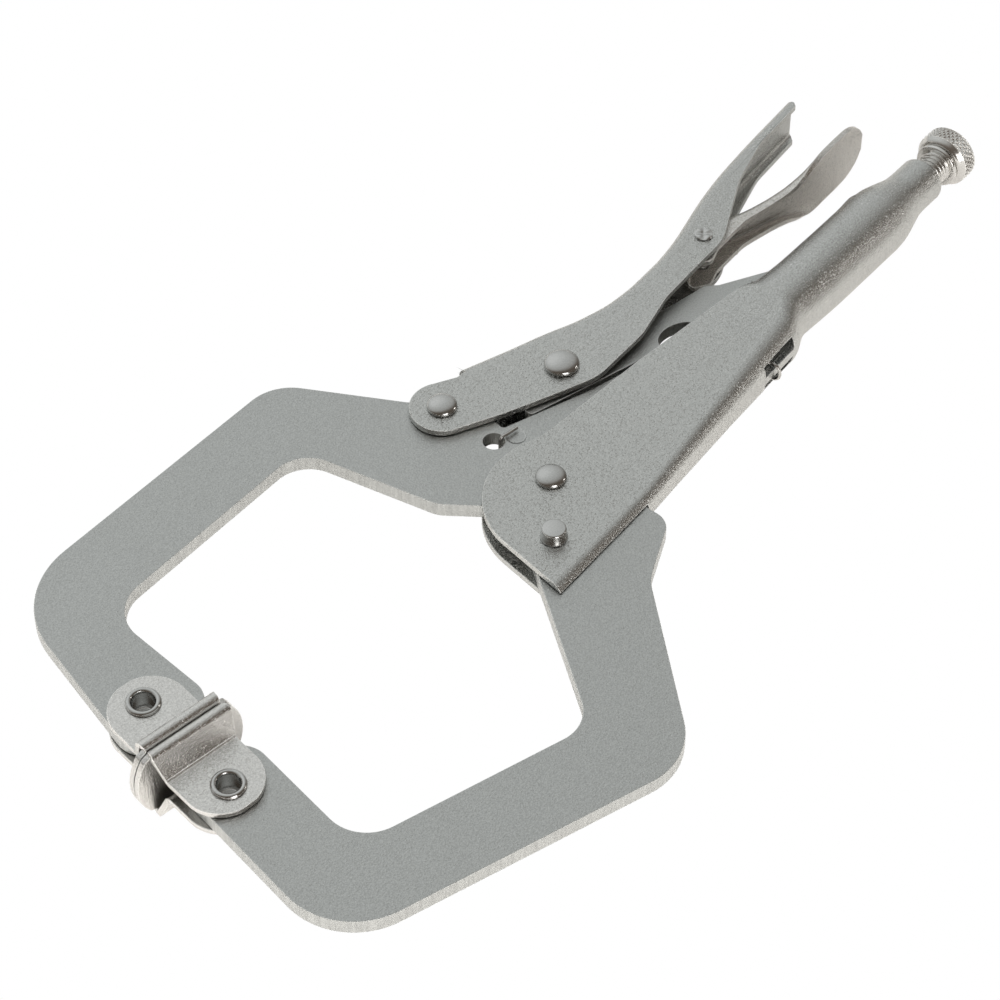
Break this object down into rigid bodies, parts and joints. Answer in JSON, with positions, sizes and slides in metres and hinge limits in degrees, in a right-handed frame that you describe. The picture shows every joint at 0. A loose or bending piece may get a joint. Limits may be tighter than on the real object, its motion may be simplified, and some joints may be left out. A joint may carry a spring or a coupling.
{
  "type": "locking c-clamp pliers",
  "caption": "Locking C-clamp pliers with deep jaw arms, round swivel pads, toggle lever, release lever and a knurled adjusting screw; nickel plated steel, shown locked with the pads closed.",
  "frame": {"origin": "middle of the bounding box, at its bottom, with the clamp lying on its side", "axes": "+X along the adjusting screw toward the knob, +Y toward the lever handle, +Z square to the jaw plates, up"},
  "size_m": [0.274, 0.1404, 0.0208],
  "materials": {
    "satin_nickel": "satin nickel plate with a fine grain on flat steel plate",
    "nickel_sheet": "nickel plate on bent sheet, brighter on the bends",
    "bright_rivet": "bright plated",
    "bright_screw": "bright plated",
    "spring_wire": "plain spring wire"
  },
  "bodies": {
    "body": {"body_shell": "nickel_sheet", "fixed_jaw": "satin_nickel", "jaw_pivot_rivet": "bright_rivet", "fixed_jaw_rivet": "bright_rivet", "lower_pad_eyelet": "bright_rivet", "return_spring": "spring_wire"},
    "jaw": {"moving_jaw": "satin_nickel", "upper_pad_eyelet": "bright_rivet", "lever_jaw_rivet": "bright_rivet", "hook_wire": "spring_wire"},
    "lever": {"lever_handle": "nickel_sheet", "lever_link_rivet": "bright_rivet", "release_pin_upper": "bright_rivet", "release_pin_lower": "bright_rivet"},
    "link": {"toggle_link": "satin_nickel"},
    "release": {"release_lever": "nickel_sheet"},
    "tip": {"thrust_tip": "bright_screw"},
    "screw": {"adjusting_screw": "bright_screw", "knob": "bright_screw"},
    "pad_upper": {"upper_pad": "nickel_sheet"},
    "pad_lower": {"lower_pad": "nickel_sheet"}
  },
  "joints": [
    {"name": "jaw_open", "type": "hinge", "parent": "body", "child": "jaw", "pos_m": [-0.01516, -0.00075, 0.0104], "axis": [0, 0, -1], "range_deg": [0, 18], "deforming": ["return_spring"]},
    {"name": "lever_swing", "type": "hinge", "parent": "jaw", "child": "lever", "pos_m": [-0.01376, 0.03235, 0.0104], "axis": [0, 0, 1], "range_deg": [0, 64.99]},
    {"name": "link_swing", "type": "hinge", "parent": "lever", "child": "link", "pos_m": [0.01374, 0.01915, 0.0104], "axis": [0, 0, 1], "range_deg": [-67.42, 0]},
    {"name": "release_press", "type": "hinge", "parent": "lever", "child": "release", "pos_m": [0.06754, 0.01845, 0.0104], "axis": [0, 0, 1], "range_deg": [0, 12]},
    {"name": "screw_travel", "type": "slide", "parent": "body", "child": "tip", "axis": [1, 0, 0], "range_m": [0, 0.02]},
    {"name": "screw_turn", "type": "hinge", "parent": "tip", "child": "screw", "pos_m": [0.08914, -0.00735, 0.0104], "axis": [1, 0, 0], "range_deg": [0, 5761]},
    {"name": "pad_upper_swivel", "type": "hinge", "parent": "jaw", "child": "pad_upper", "pos_m": [-0.11986, 0.02605, 0.0104], "axis": [0, 0, 1], "range_deg": [0, 9.3]},
    {"name": "pad_lower_swivel", "type": "hinge", "parent": "body", "child": "pad_lower", "pos_m": [-0.12436, -0.00255, 0.0104], "axis": [0, 0, -1], "range_deg": [0, 9.3]}
  ],
  "couplings": [
    {"joint": "lever_swing", "follows": "jaw_open", "ratio": 3.594},
    {"joint": "link_swing", "follows": "jaw_open", "ratio": -3.729},
    {"joint": "pad_upper_swivel", "follows": "jaw_open", "ratio": 0.5},
    {"joint": "pad_lower_swivel", "follows": "jaw_open", "ratio": 0.5},
    {"joint": "screw_turn", "follows": "screw_travel", "rad_per_m": 5026.5}
  ]
}
